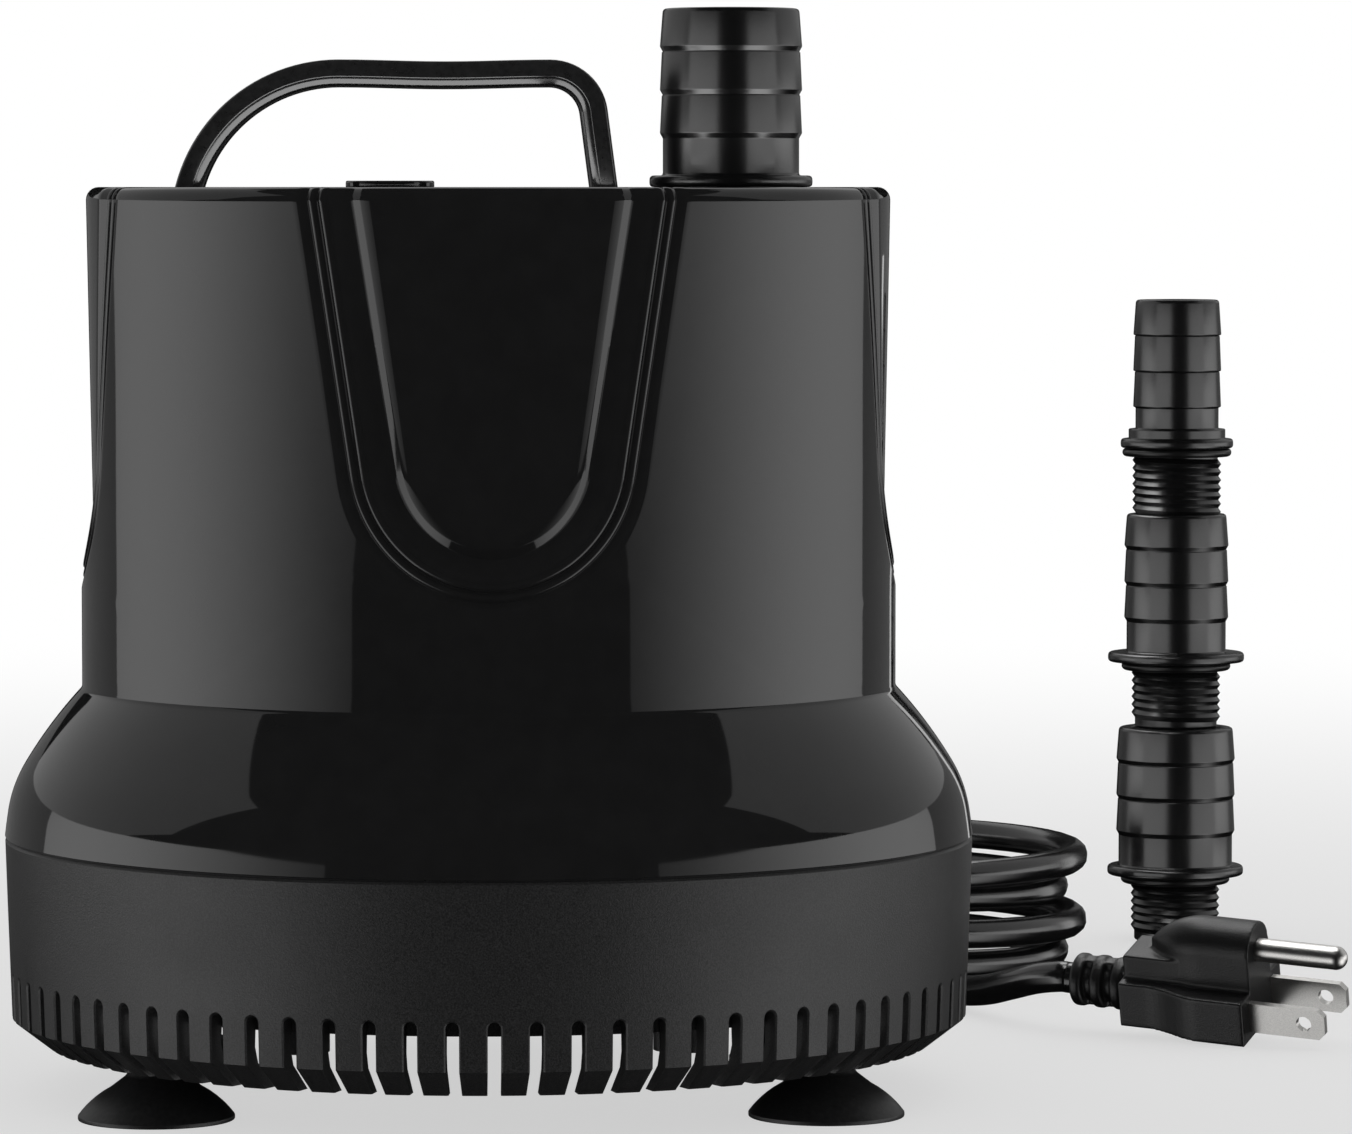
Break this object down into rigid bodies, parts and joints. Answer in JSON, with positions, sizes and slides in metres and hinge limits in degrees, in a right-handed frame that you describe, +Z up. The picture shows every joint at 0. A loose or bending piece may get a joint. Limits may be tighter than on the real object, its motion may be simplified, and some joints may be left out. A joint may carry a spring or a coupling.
{
  "type": "submersible fountain pump",
  "caption": "Round submersible fountain pump with slotted strainer base on suction cups, carrying handle, barbed hose outlet, spare hose adapters and a mains lead with plug.",
  "frame": {"origin": "on the pump's upright axis, at the surface that its suction cups stand on", "axes": "+Z up along the axis of the round body, -Y towards the front in the picture, +X towards the outlet side"},
  "size_m": [0.2665, 0.3563, 0.2058],
  "materials": {
    "base_plastic": "fine matte texture",
    "cup_rubber": "soft satin rubber",
    "screw_steel": "plain",
    "inner_plastic": "moulded",
    "seal_rubber": "smooth rubber",
    "shaft_ceramic": "polished ceramic",
    "magnet_ferrite": "ground ferrite",
    "impeller_plastic": "moulded",
    "stator_steel": "stacked sheets",
    "winding_copper": "enamelled wire",
    "cutout_plastic": "moulded",
    "housing_gloss": "high gloss black",
    "handle_plastic": "satin gloss black",
    "adapter_plastic": "satin black",
    "cord_pvc": "glossy soft black",
    "plug_pvc": "fine matte texture",
    "prong_metal": "nickel plate"
  },
  "bodies": {
    "pump": {"strainer_base": "base_plastic", "intake_plate": "base_plastic", "suction_cup_front_left": "cup_rubber", "suction_cup_front_right": "cup_rubber", "suction_cup_rear_left": "cup_rubber", "suction_cup_rear_right": "cup_rubber", "cover_screws": "screw_steel", "volute_casing": "inner_plastic", "casing_seal": "seal_rubber", "motor_plate": "inner_plastic", "riser_pipe": "inner_plastic", "rotor_shaft": "shaft_ceramic", "upper_bush": "seal_rubber", "lower_bush": "seal_rubber", "stator_core": "stator_steel", "stator_winding_front": "winding_copper", "stator_winding_rear": "winding_copper", "thermal_cutout": "cutout_plastic", "housing_shell": "housing_gloss", "fill_plug": "housing_gloss", "carry_handle": "handle_plastic", "spare_adapter_large": "adapter_plastic", "spare_adapter_medium": "adapter_plastic", "spare_adapter_small": "adapter_plastic", "spare_seals": "seal_rubber", "cord_gland": "cord_pvc", "cord_lead": "cord_pvc", "cord_coil": "cord_pvc", "cord_tail": "cord_pvc", "plug_body": "plug_pvc", "plug_blades": "prong_metal", "plug_ground_pin": "prong_metal"},
    "rotor": {"rotor_magnet": "magnet_ferrite", "impeller": "impeller_plastic"},
    "outlet_carrier": {"outlet_seal": "seal_rubber"},
    "outlet": {"outlet_adapter": "adapter_plastic"}
  },
  "joints": [
    {"name": "rotor_spin", "type": "hinge", "parent": "pump", "child": "rotor", "pos_m": [0, 0, 0.08], "axis": [0, 0, 1], "continuous": true},
    {"name": "outlet_lift", "type": "slide", "parent": "pump", "child": "outlet_carrier", "axis": [0, 0, 1], "range_m": [0, 0.0128]},
    {"name": "outlet_turn", "type": "hinge", "parent": "outlet_carrier", "child": "outlet", "pos_m": [0.046, 0, 0.172], "axis": [0, 0, 1], "range_deg": [0, 2520]}
  ],
  "couplings": [
    {"joint": "outlet_lift", "follows": "outlet_turn", "m_per_rad": 0.00028871}
  ]
}
